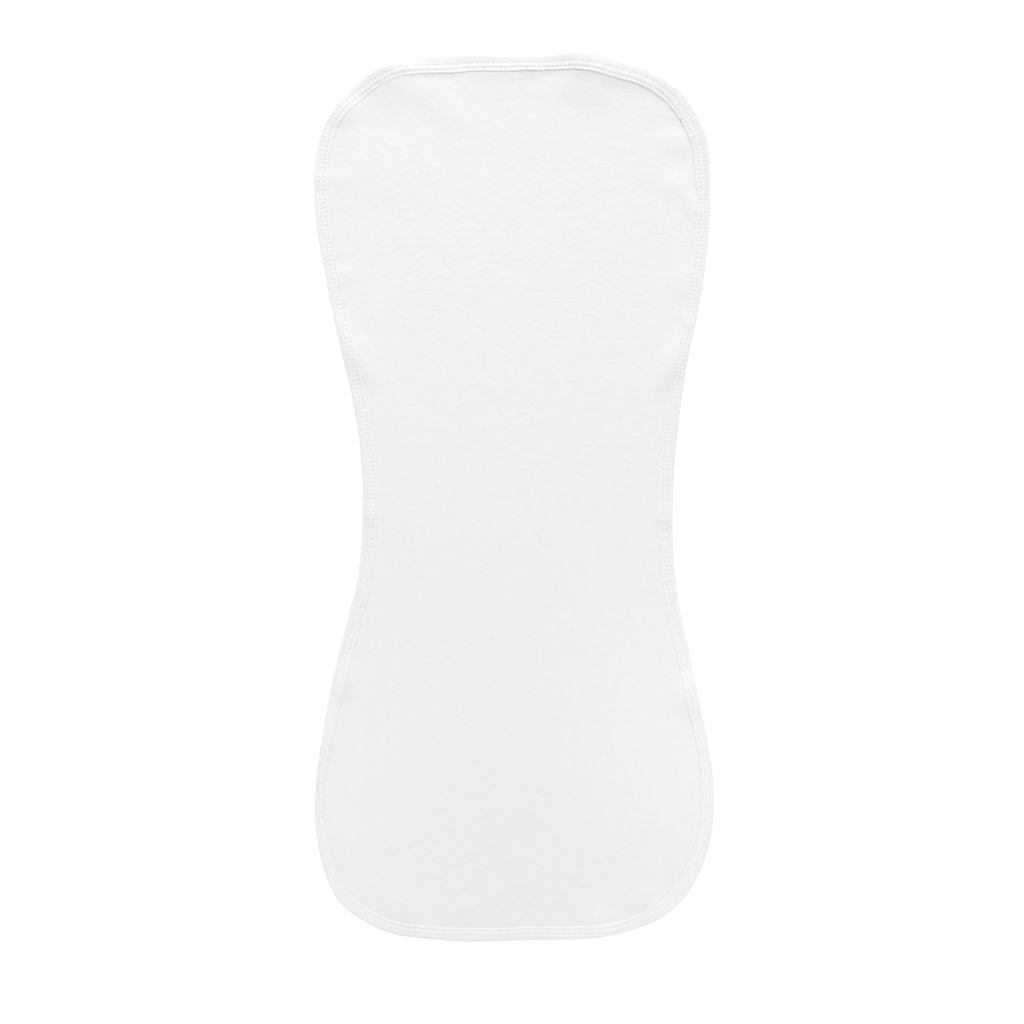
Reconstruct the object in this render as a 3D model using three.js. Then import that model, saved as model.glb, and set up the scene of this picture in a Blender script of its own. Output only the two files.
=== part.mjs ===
import * as THREE from 'three';

// A contoured burp cloth lying flat and face up. Millimetres, +Z up, its length
// along Y. Two sewn pieces: the hourglass panel, and the strip that is folded
// over the panel's edge all the way round.

// ------------------------------------------------------------------- sizes
const BINDING_WIDTH = 8.4;      // the folded strip, rim to inner edge
const STRIP = 0.7;              // one layer of the strip
const PANEL = 1.2;              // the panel's own thickness
const CLEAR = 0.32;             // left between the two pieces
const ROLL = 1.2;               // strip material at the rolled rim
const SHOULDER = 1.6;           // where the rolled rim goes over to the flat
const SETTLE = 18.0;            // this far in from the rim the panel lies down
const CELLS_ACROSS = 18;        // panel cells between the two long sides
const CELLS_ALONG = 38;         // panel cells between the two ends

const EDGE_IN = ROLL + CLEAR;                          // rim to the panel's cut edge
const UNDER_EDGE = STRIP + CLEAR;                      // panel's underside in the strip
const TALL = 2 * STRIP + 2 * CLEAR + PANEL;            // the strip from below to above

// Rim of the finished cloth, anticlockwise from above. heading is the way the
// rim runs there, in degrees. The panel's patch has its corners at the four
// rows marked corner.
const RIM = [
  { name: 'top_middle', x: -4.9, y: 252.6, heading: 178.6 },
  { name: 'top_left', x: -29.7, y: 253.1, heading: 185.0 },
  { name: 'shoulder_left_in', x: -70.8, y: 248.7, heading: 203.3 },
  { name: 'shoulder_left', x: -91.7, y: 235.7, heading: 225.4, corner: true },
  { name: 'shoulder_left_out', x: -106.6, y: 218.2, heading: 240.3 },
  { name: 'wide_top_left', x: -114.7, y: 172.0, heading: 271.3 },
  { name: 'flank_top_left', x: -106.6, y: 118.4, heading: 280.2 },
  { name: 'neck_top_left', x: -92.0, y: 52.0, heading: 280.9 },
  { name: 'waist_left', x: -87.0, y: -1.7, heading: 269.2 },
  { name: 'neck_low_left', x: -92.4, y: -57.2, heading: 255.0 },
  { name: 'flank_low_left', x: -108.8, y: -128.4, heading: 261.2 },
  { name: 'wide_low_left', x: -114.2, y: -182.4, heading: 273.0 },
  { name: 'hip_left_out', x: -109.4, y: -211.8, heading: 288.1 },
  { name: 'hip_left', x: -95.5, y: -235.9, heading: 321.9, corner: true },
  { name: 'hip_left_in', x: -75.1, y: -247.9, heading: 338.7 },
  { name: 'bottom_left', x: -41.7, y: -253.4, heading: 354.0 },
  { name: 'bottom_right', x: 19.0, y: -253.3, heading: 359.4 },
  { name: 'hip_right_in', x: 68.2, y: -247.5, heading: 16.4 },
  { name: 'hip_right', x: 92.3, y: -234.5, heading: 41.4, corner: true },
  { name: 'hip_right_out', x: 109.2, y: -207.8, heading: 69.8 },
  { name: 'wide_low_right', x: 114.9, y: -175.6, heading: 88.7 },
  { name: 'flank_low_right', x: 103.0, y: -99.2, heading: 100.5 },
  { name: 'neck_low_right', x: 95.5, y: -64.5, heading: 100.8 },
  { name: 'waist_right', x: 91.2, y: -6.9, heading: 88.8 },
  { name: 'neck_top_right', x: 95.3, y: 49.5, heading: 82.4 },
  { name: 'flank_top_right', x: 102.9, y: 93.8, heading: 77.1 },
  { name: 'wide_top_right', x: 112.4, y: 184.2, heading: 92.0 },
  { name: 'shoulder_right_out', x: 108.4, y: 211.3, heading: 113.9 },
  { name: 'shoulder_right', x: 93.4, y: 233.8, heading: 141.8, corner: true },
  { name: 'shoulder_right_in', x: 66.0, y: 248.0, heading: 165.6 },
  { name: 'top_right', x: 30.6, y: 254.1, heading: 187.1 },
];

// Soft lifts of the cloth off the surface. run is half the length along turn
// (degrees from X), spread half the width across it, lift the height.
const FOLDS = [
  { name: 'rim_ripple', x: 40.0, y: 248.0, run: 35, spread: 25, turn: -53, lift: 1.8 },
  { name: 'corner_left_roll', x: -75.0, y: 247.0, run: 18, spread: 31, turn: 14, lift: 1.3 },
  { name: 'top_left_rise', x: -50.0, y: 233.0, run: 46, spread: 15, turn: -33, lift: 0.7 },
  { name: 'left_corner_low', x: -96.5, y: 220.5, run: 14, spread: 12, turn: 39, lift: 0.8 },
  { name: 'top_left_pad', x: -86.0, y: 196.0, run: 32, spread: 22, turn: -30, lift: 0.8 },
  { name: 'left_tuck', x: -100.0, y: 182.0, run: 22, spread: 9, turn: 0, lift: 0.6 },
  { name: 'right_tuck_high', x: 96.0, y: 203.0, run: 22, spread: 10, turn: -5, lift: 0.8 },
  { name: 'right_tuck_low', x: 95.0, y: 179.0, run: 22, spread: 10, turn: -35, lift: 0.8 },
  { name: 'left_neck_fold', x: -91.5, y: 84.0, run: 30, spread: 13, turn: -58, lift: 1.3 },
  { name: 'right_neck_fold', x: 92.0, y: 80.0, run: 29, spread: 12, turn: 62, lift: 1.3 },
  { name: 'waist_crease_left', x: -84.0, y: -9.0, run: 15, spread: 8, turn: 0, lift: 0.6 },
  { name: 'waist_crease_right', x: 88.0, y: -9.4, run: 15, spread: 8, turn: 0, lift: 0.6 },
  { name: 'left_hip_fold', x: -99.0, y: -102.0, run: 20, spread: 13, turn: 0, lift: 0.8 },
  { name: 'right_hip_fold', x: 99.5, y: -114.0, run: 15, spread: 19, turn: 6, lift: 1.1 },
  { name: 'right_corner_fold', x: 84.0, y: -238.0, run: 24, spread: 13, turn: -52, lift: 0.9 },
  { name: 'bottom_right_rise', x: 50.5, y: -247.5, run: 13, spread: 20, turn: 4, lift: 0.9 },
  { name: 'bottom_tuck', x: -29.0, y: -238.0, run: 12, spread: 11, turn: 0, lift: 0.4 },
];

// -------------------------------------------------------------------- rim
const RAD = Math.PI / 180;

// One cubic piece of rim between two rows, close to an arc of the same turn.
function rimPiece(from, to) {
  const chord = Math.hypot(to.x - from.x, to.y - from.y);
  const turn = ((((to.heading - from.heading + 180) % 360) + 360) % 360 - 180) * RAD;
  const reach = chord / (3 * Math.cos(turn / 4) ** 2);
  const a = from.heading * RAD;
  const b = to.heading * RAD;
  return new THREE.CubicBezierCurve(
    new THREE.Vector2(from.x, from.y),
    new THREE.Vector2(from.x + reach * Math.cos(a), from.y + reach * Math.sin(a)),
    new THREE.Vector2(to.x - reach * Math.cos(b), to.y - reach * Math.sin(b)),
    new THREE.Vector2(to.x, to.y),
  );
}

// Fine steps along the rim from one marked corner to the next, each with its
// point, direction and a running count that grows faster where the rim bends.
function rimSide(start) {
  const steps = [];
  const fine = 40;
  let row = start;
  let count = 0;
  do {
    const from = RIM[row];
    const to = RIM[(row + 1) % RIM.length];
    const piece = rimPiece(from, to);
    for (let k = steps.length ? 1 : 0; k <= fine; k += 1) {
      const at = piece.getPoint(k / fine);
      const run = piece.getTangent(k / fine);
      const last = steps[steps.length - 1];
      if (last) {
        const gap = at.distanceTo(last.at);
        const bend = Math.abs(last.run.cross(run)) / gap;
        count += gap * (1 + 34 * Math.min(bend, 0.03));
      }
      steps.push({ at, run, count });
    }
    row = (row + 1) % RIM.length;
  } while (!RIM[row].corner);
  return { steps, end: row };
}

// Stations: CELLS steps on each side, spaced by the running count.
function rimStations() {
  const stations = [];
  const first = RIM.findIndex((row) => row.name === 'shoulder_left');
  let start = first;
  for (const cells of [CELLS_ALONG, CELLS_ACROSS, CELLS_ALONG, CELLS_ACROSS]) {
    const { steps, end } = rimSide(start);
    const whole = steps[steps.length - 1].count;
    let k = 0;
    for (let c = 0; c < cells; c += 1) {
      const want = (whole * c) / cells;
      while (steps[k + 1].count < want) k += 1;
      const t = (want - steps[k].count) / (steps[k + 1].count - steps[k].count);
      const at = steps[k].at.clone().lerp(steps[k + 1].at, t);
      const run = steps[k].run.clone().lerp(steps[k + 1].run, t).normalize();
      stations.push({ at, inward: new THREE.Vector2(-run.y, run.x) });
    }
    start = end;
  }
  return stations;
}

function inFrom(station, depth) {
  return station.at.clone().addScaledVector(station.inward, depth);
}

// ------------------------------------------------------------------ heights
function lift(x, y) {
  let z = 0;
  for (const fold of FOLDS) {
    const c = Math.cos(fold.turn * RAD);
    const s = Math.sin(fold.turn * RAD);
    const u = ((x - fold.x) * c + (y - fold.y) * s) / fold.run;
    const v = ((y - fold.y) * c - (x - fold.x) * s) / fold.spread;
    const q = u * u + v * v;
    if (q < 1) z += fold.lift * (1 - q) ** 2;
  }
  return z;
}

// The strip and the panel's edge inside it rise together.
function edgeLift(station) {
  const middle = inFrom(station, BINDING_WIDTH / 2);
  return lift(middle.x, middle.y);
}

// ------------------------------------------------------------------- solids
class Skin {
  constructor() {
    this.points = [];
    this.faces = [];
  }

  point(x, y, z) {
    this.points.push(x, y, z);
    return this.points.length / 3 - 1;
  }

  quad(a, b, c, d) {
    this.faces.push(a, b, c, a, c, d);
  }

  geometry() {
    const geometry = new THREE.BufferGeometry();
    geometry.setAttribute('position', new THREE.Float32BufferAttribute(this.points, 3));
    geometry.setIndex(this.faces);
    geometry.computeVertexNormals();
    return geometry;
  }
}

// The folded strip: a U lying open towards the panel, carried round the rim.
function bindingGeometry(stations) {
  const section = [
    { part: 'rim', depth: 0, z: TALL / 2 },
    { part: 'rim_low', depth: 0.4, z: 0.6 },
    { part: 'under', depth: SHOULDER, z: 0 },
    { part: 'under_edge', depth: BINDING_WIDTH, z: 0 },
    { part: 'under_edge_in', depth: BINDING_WIDTH, z: STRIP },
    { part: 'fold_low', depth: ROLL, z: STRIP },
    { part: 'fold_high', depth: ROLL, z: TALL - STRIP },
    { part: 'top_edge_in', depth: BINDING_WIDTH, z: TALL - STRIP },
    { part: 'top_edge', depth: BINDING_WIDTH, z: TALL },
    { part: 'top', depth: SHOULDER, z: TALL },
    { part: 'rim_high', depth: 0.4, z: TALL - 0.6 },
  ];
  const skin = new Skin();
  const loops = stations.map((station) => {
    const up = edgeLift(station);
    return section.map(({ depth, z }) => {
      const p = inFrom(station, depth);
      return skin.point(p.x, p.y, z + up);
    });
  });
  loops.forEach((loop, k) => {
    const next = loops[(k + 1) % loops.length];
    loop.forEach((a, i) => {
      const j = (i + 1) % loop.length;
      skin.quad(a, loop[j], next[j], next[i]);
    });
  });
  return skin.geometry();
}

// The panel: rings in from its cut edge, which is held in the strip, to where
// it lies on the surface, then a patch of cells between the four corners.
function panelGeometry(stations) {
  const rings = [
    { part: 'cut_edge', depth: EDGE_IN, under: UNDER_EDGE, held: true },
    { part: 'leaves_strip', depth: BINDING_WIDTH + 0.6, under: UNDER_EDGE, held: true },
    { part: 'sinking', depth: 13, under: 0.42, held: false },
    { part: 'lying', depth: SETTLE, under: 0, held: false },
  ];
  const skin = new Skin();
  const pair = (p, z) => ({ p, low: skin.point(p.x, p.y, z), high: skin.point(p.x, p.y, z + PANEL) });
  const loops = rings.map(({ depth, under, held }) => stations.map((station) => {
    const p = inFrom(station, depth);
    return pair(p, under + (held ? edgeLift(station) : lift(p.x, p.y)));
  }));

  stations.forEach((_, k) => {
    const n = (k + 1) % stations.length;
    const edge = loops[0];
    skin.quad(edge[k].low, edge[n].low, edge[n].high, edge[k].high);
    for (let r = 0; r + 1 < loops.length; r += 1) {
      const out = loops[r];
      const into = loops[r + 1];
      skin.quad(out[k].high, out[n].high, into[n].high, into[k].high);
      skin.quad(out[n].low, out[k].low, into[k].low, into[n].low);
    }
  });

  // Cells, counted from the top left corner: i to the right, j down.
  const lying = loops[loops.length - 1];
  const M = CELLS_ACROSS;
  const N = CELLS_ALONG;
  const left = (j) => lying[j % lying.length];
  const bottom = (i) => lying[N + i];
  const right = (j) => lying[N + M + (N - j)];
  const top = (i) => lying[(2 * N + M + (M - i)) % lying.length];
  const blend = (i, j) => {
    const u = i / M;
    const v = j / N;
    const p = new THREE.Vector2();
    p.addScaledVector(left(j).p, 1 - u).addScaledVector(right(j).p, u);
    p.addScaledVector(top(i).p, 1 - v).addScaledVector(bottom(i).p, v);
    p.addScaledVector(left(0).p, -(1 - u) * (1 - v)).addScaledVector(right(0).p, -u * (1 - v));
    p.addScaledVector(left(N).p, -(1 - u) * v).addScaledVector(right(N).p, -u * v);
    return pair(p, lift(p.x, p.y));
  };
  const grid = [];
  for (let i = 0; i <= M; i += 1) {
    grid.push([]);
    for (let j = 0; j <= N; j += 1) {
      if (i === 0) grid[i].push(left(j));
      else if (i === M) grid[i].push(right(j));
      else if (j === 0) grid[i].push(top(i));
      else if (j === N) grid[i].push(bottom(i));
      else grid[i].push(blend(i, j));
    }
  }
  for (let i = 0; i < M; i += 1) {
    for (let j = 0; j < N; j += 1) {
      const a = grid[i][j];
      const b = grid[i][j + 1];
      const c = grid[i + 1][j + 1];
      const d = grid[i + 1][j];
      if ((i < M / 2) === (j < N / 2)) {
        skin.quad(a.high, b.high, c.high, d.high);
        skin.quad(c.low, b.low, a.low, d.low);
      } else {
        skin.quad(b.high, c.high, d.high, a.high);
        skin.quad(b.low, a.low, d.low, c.low);
      }
    }
  }
  return skin.geometry();
}

// -------------------------------------------------------------------- parts
function part(name, geometry, colour, roughness) {
  const material = new THREE.MeshStandardMaterial({ color: colour, roughness, metalness: 0 });
  const mesh = new THREE.Mesh(geometry, material);
  mesh.name = name;
  return mesh;
}

const stations = rimStations();
const cloth = new THREE.Group();
cloth.name = 'burp_cloth';
cloth.add(part('panel', panelGeometry(stations), 0xf1f1f1, 0.95));
cloth.add(part('binding', bindingGeometry(stations), 0xf5f5f5, 0.9));

// The origin is on the surface, under the middle of the cloth's own box.
const middle = new THREE.Box3().setFromObject(cloth).getCenter(new THREE.Vector3());
for (const mesh of cloth.children) mesh.geometry.translate(-middle.x, -middle.y, 0);

export default cloth;
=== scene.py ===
import math

import bpy
import numpy as np
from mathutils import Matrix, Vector
from mathutils.kdtree import KDTree


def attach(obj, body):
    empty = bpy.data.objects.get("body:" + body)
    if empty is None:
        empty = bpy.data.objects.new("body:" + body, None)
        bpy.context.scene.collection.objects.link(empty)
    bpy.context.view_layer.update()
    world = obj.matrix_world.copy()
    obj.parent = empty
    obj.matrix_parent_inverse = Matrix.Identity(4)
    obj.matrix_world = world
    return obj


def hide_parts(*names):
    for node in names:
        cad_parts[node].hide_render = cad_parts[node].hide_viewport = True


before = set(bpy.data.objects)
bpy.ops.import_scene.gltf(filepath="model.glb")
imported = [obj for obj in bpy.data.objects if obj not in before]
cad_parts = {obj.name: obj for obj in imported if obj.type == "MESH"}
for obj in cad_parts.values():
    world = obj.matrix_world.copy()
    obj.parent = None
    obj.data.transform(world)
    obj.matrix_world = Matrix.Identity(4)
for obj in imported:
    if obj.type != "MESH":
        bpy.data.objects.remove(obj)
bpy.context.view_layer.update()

# Everything below is worked out in millimetres, on the frame's axes, and goes
# into Blender in metres.
MM = 0.001
CENTRE = (0.04, 0.07)          # middle of the rim's own box, taken off at the end

# ------------------------------------------------------------------ the cloth
# Rim of the finished cloth, anticlockwise from above. heading is the way the
# rim runs there, pitch the length of a stitch.
RIM_COLUMNS = ("name", "x", "y", "heading", "pitch")
RIM = [
    ("top_middle", -4.9, 252.6, 178.6, 2.36),
    ("top_left", -29.7, 253.1, 185.0, 2.37),
    ("shoulder_left_in", -70.8, 248.7, 203.3, 2.37),
    ("shoulder_left", -91.7, 235.7, 225.4, 2.49),
    ("shoulder_left_out", -106.6, 218.2, 240.3, 2.60),
    ("wide_top_left", -114.7, 172.0, 271.3, 2.63),
    ("flank_top_left", -106.6, 118.4, 280.2, 2.56),
    ("neck_top_left", -92.0, 52.0, 280.9, 2.34),
    ("waist_left", -87.0, -1.7, 269.2, 2.28),
    ("neck_low_left", -92.4, -57.2, 255.0, 2.26),
    ("flank_low_left", -108.8, -128.4, 261.2, 2.34),
    ("wide_low_left", -114.2, -182.4, 273.0, 2.40),
    ("hip_left_out", -109.4, -211.8, 288.1, 2.40),
    ("hip_left", -95.5, -235.9, 321.9, 2.42),
    ("hip_left_in", -75.1, -247.9, 338.7, 2.45),
    ("bottom_left", -41.7, -253.4, 354.0, 2.45),
    ("bottom_right", 19.0, -253.3, 359.4, 2.45),
    ("hip_right_in", 68.2, -247.5, 16.4, 2.44),
    ("hip_right", 92.3, -234.5, 41.4, 2.41),
    ("hip_right_out", 109.2, -207.8, 69.8, 2.40),
    ("wide_low_right", 114.9, -175.6, 88.7, 2.40),
    ("flank_low_right", 103.0, -99.2, 100.5, 2.37),
    ("neck_low_right", 95.5, -64.5, 100.8, 2.29),
    ("waist_right", 91.2, -6.9, 88.8, 2.25),
    ("neck_top_right", 95.3, 49.5, 82.4, 2.31),
    ("flank_top_right", 102.9, 93.8, 77.1, 2.39),
    ("wide_top_right", 112.4, 184.2, 92.0, 2.45),
    ("shoulder_right_out", 108.4, 211.3, 113.9, 2.45),
    ("shoulder_right", 93.4, 233.8, 141.8, 2.38),
    ("shoulder_right_in", 66.0, 248.0, 165.6, 2.31),
    ("top_right", 30.6, 254.1, 187.1, 2.35),
]
CORNERS = ("shoulder_left", "hip_left", "hip_right", "shoulder_right")

# The folded strip isn't equally wide all the way: at is the running length of
# the rim from its first row, and row_1, row_2 and edge are how far in from the
# rim the two stitch rows and the strip's inner edge are there.
STRIP_COLUMNS = ("at", "row_1", "row_2", "edge")
STRIP = [
    (0, 3.0, 6.0, 8.3), (12, 3.5, 6.5, 8.8), (24, 4.1, 6.9, 9.3), (40, 4.5, 7.3, 9.7), (50, 4.5, 7.3, 9.7), (62, 3.8, 6.8, 9.2),
    (73, 3.7, 6.7, 8.6), (85, 4.0, 7.1, 9.3), (98, 2.7, 5.7, 8.2), (110, 2.1, 5.0, 7.9), (124, 2.9, 5.6, 8.1),
    (135, 3.7, 6.2, 8.3), (156, 3.1, 5.6, 8.4), (180, 3.9, 6.6, 8.8), (206, 3.8, 6.3, 9.0), (230, 4.2, 6.8, 9.3),
    (250, 3.6, 6.3, 8.7), (265, 3.3, 5.8, 8.3), (300, 3.8, 6.4, 8.7), (328, 4.7, 7.2, 9.3), (350, 4.0, 6.7, 8.9),
    (373, 3.5, 6.0, 8.1), (412, 4.5, 7.0, 8.7), (432, 3.1, 5.6, 8.4), (448, 2.6, 5.3, 8.0), (464, 2.5, 5.0, 7.3),
    (480, 2.1, 4.5, 6.4), (500, 1.8, 3.8, 5.5), (526, 2.2, 4.2, 5.9), (546, 3.0, 5.2, 6.9), (566, 2.5, 4.7, 7.5),
    (602, 3.1, 5.4, 7.5), (630, 2.8, 5.4, 7.9), (650, 4.1, 6.4, 8.2), (672, 3.2, 5.9, 7.8), (688, 3.8, 6.3, 8.2),
    (712, 3.4, 5.8, 7.8), (738, 1.5, 4.0, 7.3), (756, 3.5, 5.8, 8.0), (768, 2.8, 5.1, 8.0), (792, 3.7, 6.4, 8.9),
    (816, 3.8, 6.3, 8.3), (842, 3.9, 6.0, 7.7), (876, 3.0, 5.3, 7.1), (888, 2.9, 5.2, 7.7), (900, 2.9, 5.2, 8.1),
    (912, 3.3, 5.6, 7.9), (922, 3.7, 6.0, 7.9), (930, 4.0, 6.3, 8.1), (937, 3.8, 6.1, 8.3), (946, 3.6, 5.8, 8.1),
    (958, 3.3, 5.4, 7.8), (984, 3.3, 5.6, 8.1), (1008, 4.0, 6.5, 8.7), (1030, 4.0, 6.5, 9.5), (1056, 3.8, 6.5, 8.8),
    (1092, 2.8, 5.5, 7.8), (1118, 3.3, 6.1, 8.6), (1146, 3.8, 6.3, 9.1), (1168, 2.7, 5.4, 8.6), (1190, 2.8, 5.8, 7.9),
    (1212, 3.6, 6.5, 9.4), (1236, 5.0, 8.1, 9.8), (1248, 5.3, 8.5, 10.3), (1260, 3.8, 7.0, 9.5), (1273, 3.2, 6.4, 9.0),
    (1296, 3.8, 7.1, 9.5), (1320, 4.3, 7.2, 9.6), (1334, 3.4, 6.2, 8.3), (1350, 2.9, 5.6, 7.8),
]

# The rim's own shape: inset is how far its widest point lies in from the
# outline, drop how far it lies below the strip's top, roll how wide it is
# rolled, lean how steeply the strip tilts up outwards, lift how far its inner
# edge is lifted off the surface, and stand how far that edge stands above the
# panel: most at the top end.
SHAPE_COLUMNS = ("at", "inset", "drop", "roll", "lean", "lift", "stand")
SHAPE = [
    (0, 0.00, 1.2, 0.50, 0.08, 0.55, 0.40), (30, 0.00, 1.2, 0.55, 0.03, 0.22, 0.42), (60, 0.00, 1.2, 0.60, 0.00, 0.00, 0.13),
    (90, 0.00, 1.2, 0.60, 0.04, 0.16, 0.28), (120, 0.05, 1.1, 0.80, 0.05, 0.12, 0.24), (150, 0.14, 1.0, 1.10, 0.00, 0.00, 0.12),
    (180, 0.16, 1.0, 1.20, 0.00, 0.00, 0.16), (240, 0.28, 0.9, 1.15, 0.00, 0.00, 0.18), (300, 0.16, 1.5, 1.55, 0.00, 0.00, 0.18),
    (330, 0.20, 2.0, 1.85, 0.00, 0.00, 0.18), (390, 0.00, 1.7, 1.50, 0.00, 0.00, 0.20), (420, 0.03, 1.2, 1.20, 0.00, 0.00, 0.20),
    (480, 0.14, 0.8, 0.90, 0.00, 0.00, 0.28), (510, 0.22, 0.6, 0.70, 0.00, 0.00, 0.30), (540, 0.28, 0.4, 0.60, 0.04, 0.00, 0.32),
    (570, 0.36, 0.3, 0.50, 0.05, 0.00, 0.36), (630, 0.44, 0.2, 0.50, 0.03, 0.00, 0.32), (690, 0.46, 0.2, 0.50, 0.06, 0.00, 0.32),
    (720, 0.50, 0.2, 0.50, 0.12, 0.00, 0.30), (750, 0.50, 0.2, 0.50, 0.12, 0.00, 0.28), (780, 0.44, 0.3, 0.50, 0.10, 0.00, 0.26),
    (810, 0.28, 0.4, 0.70, 0.03, 0.00, 0.24), (840, 0.16, 0.8, 1.00, 0.00, 0.00, 0.34), (870, 0.03, 1.2, 1.05, 0.00, 0.00, 0.40),
    (930, 0.00, 1.5, 1.60, 0.00, 0.06, 0.30), (960, 0.00, 2.0, 2.10, 0.00, 0.06, 0.26), (1020, 0.14, 2.1, 2.00, 0.00, 0.00, 0.14),
    (1050, 0.12, 1.7, 1.70, 0.00, 0.00, 0.18), (1080, 0.16, 1.1, 1.20, 0.00, 0.00, 0.16), (1110, 0.18, 0.8, 0.90, 0.00, 0.00, 0.14),
    (1140, 0.14, 1.1, 1.20, 0.00, 0.00, 0.18), (1170, 0.18, 1.0, 1.20, 0.02, 0.00, 0.30), (1200, 0.06, 1.1, 1.00, 0.06, 0.30, 0.58),
    (1230, 0.00, 1.2, 0.70, 0.17, 0.65, 0.80), (1260, 0.00, 1.2, 0.50, 0.13, 0.60, 0.50), (1290, 0.00, 1.2, 0.50, 0.10, 0.65, 0.50),
    (1320, 0.00, 1.2, 0.50, 0.06, 0.80, 0.50), (1350, 0.00, 1.2, 0.50, 0.07, 0.95, 0.46),
]
LIFT_REACH = 2.3               # how far in, in mm, the panel follows that lift

# Soft folds: run is half the length along turn (degrees from X), spread half
# the width across it, lift the height: ridges go up, shallow troughs down.
FOLD_COLUMNS = ("name", "x", "y", "run", "spread", "turn", "lift")
FOLDS = [
    ("rim_ripple", 40.0, 248.5, 35.5, 25.0, -53, 2.90),
    ("rim_ripple_in", 27.0, 235.5, 17.5, 11.5, 42, 0.86),
    ("rim_ripple_right", 63.0, 240.0, 38.0, 9.5, -13, 0.90),
    ("rim_middle", -4.0, 244.5, 41.5, 8.0, 3, 0.67),
    ("corner_left_roll", -75.5, 247.0, 17.0, 31.0, 14, 2.68),
    ("top_left_ridge", -52.0, 233.0, 51.5, 15.0, -37, 1.11),
    ("top_left_light", -52.5, 245.0, 29.5, 5.5, -1, 0.94),
    ("top_left_pad", -78.0, 186.5, 40.0, 23.5, -35, 0.63),
    ("left_tuck", -104.5, 182.0, 20.5, 9.5, -2, 0.52),
    ("left_corner_low", -96.5, 220.5, 13.5, 11.0, 39, 1.56),
    ("right_tuck_high", 92.5, 203.5, 15.0, 10.5, -1, 0.92),
    ("right_tuck_low", 91.0, 179.0, 11.5, 10.5, -32, 1.00),
    ("right_tuck_tail", 101.5, 166.5, 15.5, 6.5, -66, 0.99),
    ("right_tuck_in", 77.5, 190.0, 9.0, 18.0, -11, 0.54),
    ("left_flank_roll", -95.5, 126.5, 12.5, 9.5, 2, 0.53),
    ("right_flank_roll", 97.0, 124.0, 12.5, 14.0, 3, 0.78),
    ("left_neck_fold", -91.5, 84.0, 29.5, 12.0, -61, 2.15),
    ("right_neck_fold", 91.5, 79.0, 28.5, 10.5, 66, 2.07),
    ("waist_left", -83.0, -9.5, 9.5, 9.0, -1, 0.71),
    ("waist_right", 87.5, -10.5, 9.5, 10.0, 0, 0.84),
    ("left_hip_fold", -96.0, -104.5, 9.5, 15.5, -8, 0.92),
    ("left_hip_fold_low", -106.0, -139.5, 8.0, 12.0, 0, 0.40),
    ("right_hip_fold", 99.5, -112.5, 12.5, 18.5, 8, 1.42),
    ("right_corner_fold", 83.0, -238.5, 22.5, 12.0, -56, 0.99),
    ("bottom_right_rise", 50.5, -248.0, 11.5, 20.5, 4, 1.61),
    ("bottom_tuck", -28.0, -234.0, 8.0, 9.0, 0, 0.26),
    ("bottom_left_rise", -63.5, -232.5, 13.5, 21.5, 21, 0.53),
    ("low_left_rise", -98.5, -197.0, 11.5, 19.5, 9, 0.48),
    ("draw_1", -49.5, 192.0, 10.5, 5.0, -56, 0.20),
    ("draw_2", -44.5, 183.5, 18.0, 6.5, -65, 0.43),
    ("draw_3", -19.0, 182.5, 18.5, 4.5, -37, 0.19),
    ("draw_4", -69.5, 202.5, 12.5, 6.5, -57, 0.34),
    ("draw_5", -64.0, 148.0, 18.5, 5.0, -65, 0.34),
    ("upper_right_soft", 45.0, 206.0, 29.0, 12.5, -47, -0.26),
    ("rim_ripple_edge", 25.0, 248.0, 11.5, 18.5, 27, -0.70),
    ("shoulder_left_low", -67.0, 229.5, 14.0, 6.0, -25, 0.07),
    ("right_corner_draw", 76.5, 213.0, 9.5, 9.0, -50, -0.30),
    ("top_middle_edge", 1.0, 238.5, 47.5, 12.0, 8, 0.30),
    ("left_flank_low", -95.5, 103.5, 17.0, 8.0, -19, 0.33),
    ("right_flank_low", 99.5, 100.5, 7.0, 8.0, 0, 0.46),
    ("left_flank_high", -101.0, 158.5, 11.5, 8.0, 1, -0.30),
    ("hip_corner_left", -88.0, -222.0, 11.5, 8.5, 45, 0.12),
    ("bottom_middle", 12.0, -244.0, 30.0, 9.0, -2, 0.21),
    ("low_right_flank", 101.0, -167.0, 11.0, 10.0, 0, 0.09),
]

# The strip and the panel, in heights above the surface.
STRIP_TOP = 2.92               # top of the strip
PANEL_LYING = 2.00             # panel's face in the middle
HELD_UNDER = 0.68
TUCKED = 1.50                  # panel's face inside the strip, pressed down by the stitching
CUT_EDGE = 2.1                 # rim to the panel's cut edge, inside the strip
HOLE_REACH = 0.17              # of a needle hole, in stitches
SHADE_SHIFT = {"row_1": 0.70, "row_2": 0.75, "edge": 0.45}   # at the top end the dark lines read off lie a little outside the rows
VALLEY = 0.22                  # the rows pull the strip down
HOLE = 0.22                    # and each needle hole a little more
RIPPLE = 0.018                 # and gather it between them
SOFT_END = 0.26                # how much deeper the rows are, in the lower part, for being stitched
# How tightly single stitches pull at the strip along the rim: fully all over
# the upper part, unevenly at the waist and hardly at all round the lower part.
TIGHT_COLUMNS = ("at", "tight")
TIGHT = [
    (0, 1.00), (300, 1.00), (330, 0.70), (350, 0.90), (370, 0.55), (390, 0.28), (410, 0.40), (430, 0.45), (450, 0.24), (490, 0.17),
    (510, 0.05), (570, 0.13), (590, 0.24), (610, 0.12), (640, 0.05), (670, 0.10), (700, 0.03), (760, 0.08), (800, 0.00), (895, 0.00),
    (920, 0.28), (940, 0.26), (960, 0.60), (980, 0.90), (1000, 0.32), (1020, 0.55), (1040, 0.85), (1060, 0.52), (1080, 0.80),
    (1110, 0.90), (1140, 1.00),
]


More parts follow.
